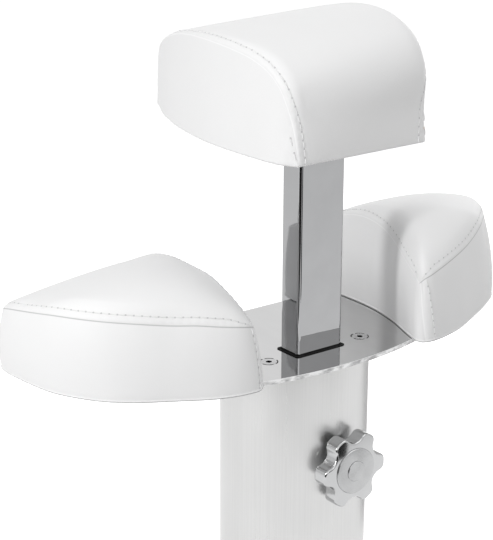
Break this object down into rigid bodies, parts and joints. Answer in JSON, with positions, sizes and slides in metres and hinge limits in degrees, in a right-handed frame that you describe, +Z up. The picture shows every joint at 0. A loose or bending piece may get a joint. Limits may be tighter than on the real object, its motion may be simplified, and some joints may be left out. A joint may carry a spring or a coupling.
{
  "type": "pedicure footrest column",
  "caption": "Floor column with a mirror plate carrying upholstered leg pads and a foot pad on a sliding post, held by a star clamp knob.",
  "frame": {"origin": "on the floor under the axis of the round column, on the underside of the rubber floor seal", "axes": "+Z up along the column; the clamp knob faces -Y, which is the front; +X to the right as seen by someone standing behind it"},
  "size_m": [0.4947, 0.281, 0.7353],
  "materials": {
    "white_upholstery": "soft grained white upholstery",
    "foam": "cut foam",
    "plywood": "sanded plywood",
    "dust_cloth": "black non-woven cloth",
    "chrome": "bright chrome plating",
    "knob_chrome": "satin chrome casting",
    "polished_steel": "mirror polished stainless steel",
    "brushed_steel": "vertically brushed stainless steel",
    "bare_steel": "plain machined steel",
    "zinc_steel": "zinc plated steel",
    "black_rubber": "matt black rubber",
    "black_plastic": "matt black moulded plastic",
    "glide_plastic": "natural acetal"
  },
  "bodies": {
    "column": {"floor_seal": "black_rubber", "floor_flange": "brushed_steel", "base_spigot": "bare_steel", "column_tube": "brushed_steel", "column_screws": "zinc_steel", "top_bracket": "bare_steel", "guide_sleeve": "bare_steel", "upper_glide": "glide_plastic", "lower_glide": "glide_plastic", "top_plate": "polished_steel", "plate_screws": "zinc_steel", "post_gasket": "black_rubber", "clamp_nut_block": "bare_steel", "stud_bush": "black_plastic", "right_pad_cover": "white_upholstery", "right_pad_foam": "foam", "right_pad_board": "plywood", "right_pad_tee_nuts": "zinc_steel", "right_pad_screws": "zinc_steel", "left_pad_cover": "white_upholstery", "left_pad_foam": "foam", "left_pad_board": "plywood", "left_pad_tee_nuts": "zinc_steel", "left_pad_screws": "zinc_steel"},
    "foot_rest": {"foot_post": "chrome", "post_end_plug": "black_plastic", "stop_pin": "bare_steel", "head_plate": "bare_steel", "head_plate_screws": "zinc_steel", "foot_pad_board": "plywood", "foot_pad_tee_nuts": "zinc_steel", "foot_pad_foam": "foam", "foot_pad_cover": "white_upholstery", "foot_dust_cover": "dust_cloth"},
    "clamp_shoe": {"pressure_shoe": "glide_plastic"},
    "clamp_knob": {"clamp_stud": "zinc_steel", "knob_star": "knob_chrome", "knob_face_disc": "knob_chrome", "knob_button": "knob_chrome"}
  },
  "joints": [
    {"name": "foot_pad_height", "type": "slide", "parent": "column", "child": "foot_rest", "axis": [0, 0, 1], "range_m": [-0.175, 0.065]},
    {"name": "clamp_travel", "type": "slide", "parent": "column", "child": "clamp_shoe", "axis": [0, -1, 0], "range_m": [0, 0.0015]},
    {"name": "knob_turn", "type": "hinge", "parent": "clamp_shoe", "child": "clamp_knob", "pos_m": [0, -0.08, 0.3431], "axis": [0, -1, 0], "range_deg": [0, 360]}
  ],
  "couplings": [
    {"joint": "clamp_travel", "follows": "knob_turn", "m_per_rad": 0.00023873}
  ]
}
